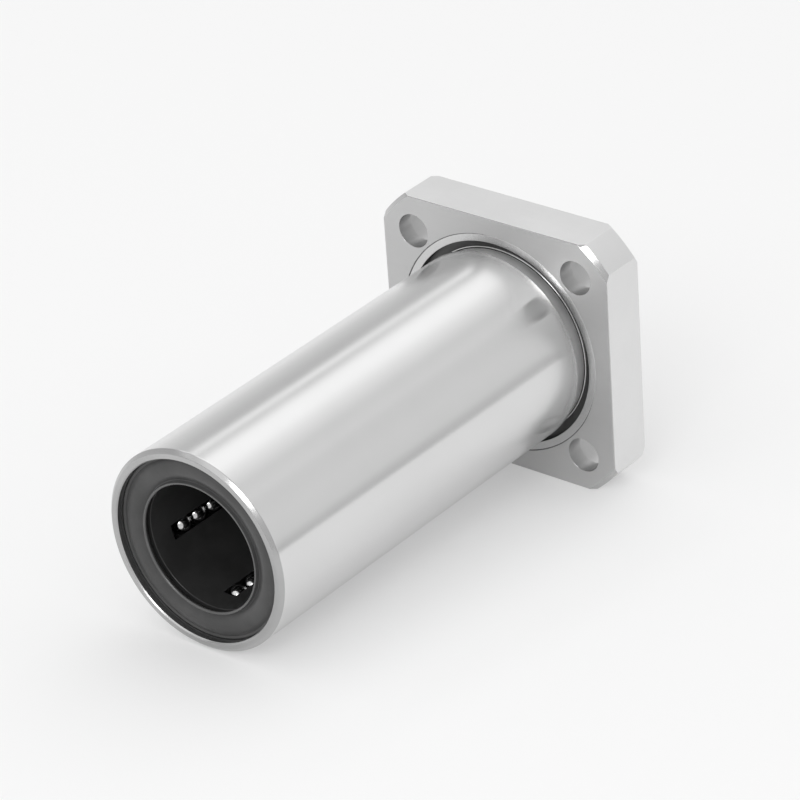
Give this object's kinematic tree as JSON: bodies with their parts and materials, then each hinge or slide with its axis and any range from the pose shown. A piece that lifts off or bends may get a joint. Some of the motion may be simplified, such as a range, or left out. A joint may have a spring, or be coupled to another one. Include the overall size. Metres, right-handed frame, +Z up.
{
  "type": "square flange linear bearing",
  "caption": "Long linear ball bearing for a round shaft: ground steel cylinder with a square counterbored flange at one end, ball retainers inside and a lipped seal in each end.",
  "frame": {"origin": "on the bore axis, in the plane of the flange face that seats against the machine", "axes": "+Y along the bore towards the flange's back face, so the tube points to -Y; +Z up, square to one flange side; +X to the side"},
  "size_m": [0.042, 0.08, 0.042],
  "materials": {
    "ground_steel": "ground and polished tube, satin milled flange",
    "black_resin": "moulded black resin",
    "black_rubber": "smooth moulded rubber",
    "ball_steel": "polished bearing steel",
    "spring_steel": "dark spring steel"
  },
  "bodies": {
    "root": {"ball_retainer_front": "black_resin", "ball_retainer_rear": "black_resin", "end_seal_front": "black_rubber", "end_seal_rear": "black_rubber", "flanged_outer_cylinder": "ground_steel", "loaded_balls_front_1": "ball_steel", "loaded_balls_front_2": "ball_steel", "loaded_balls_front_3": "ball_steel", "loaded_balls_front_4": "ball_steel", "loaded_balls_front_5": "ball_steel", "loaded_balls_rear_1": "ball_steel", "loaded_balls_rear_2": "ball_steel", "loaded_balls_rear_3": "ball_steel", "loaded_balls_rear_4": "ball_steel", "loaded_balls_rear_5": "ball_steel", "retaining_ring_front": "spring_steel", "retaining_ring_rear": "spring_steel", "return_balls_front_1": "ball_steel", "return_balls_front_2": "ball_steel", "return_balls_front_3": "ball_steel", "return_balls_front_4": "ball_steel", "return_balls_front_5": "ball_steel", "return_balls_rear_1": "ball_steel", "return_balls_rear_2": "ball_steel", "return_balls_rear_3": "ball_steel", "return_balls_rear_4": "ball_steel", "return_balls_rear_5": "ball_steel"}
  },
  "joints": []
}
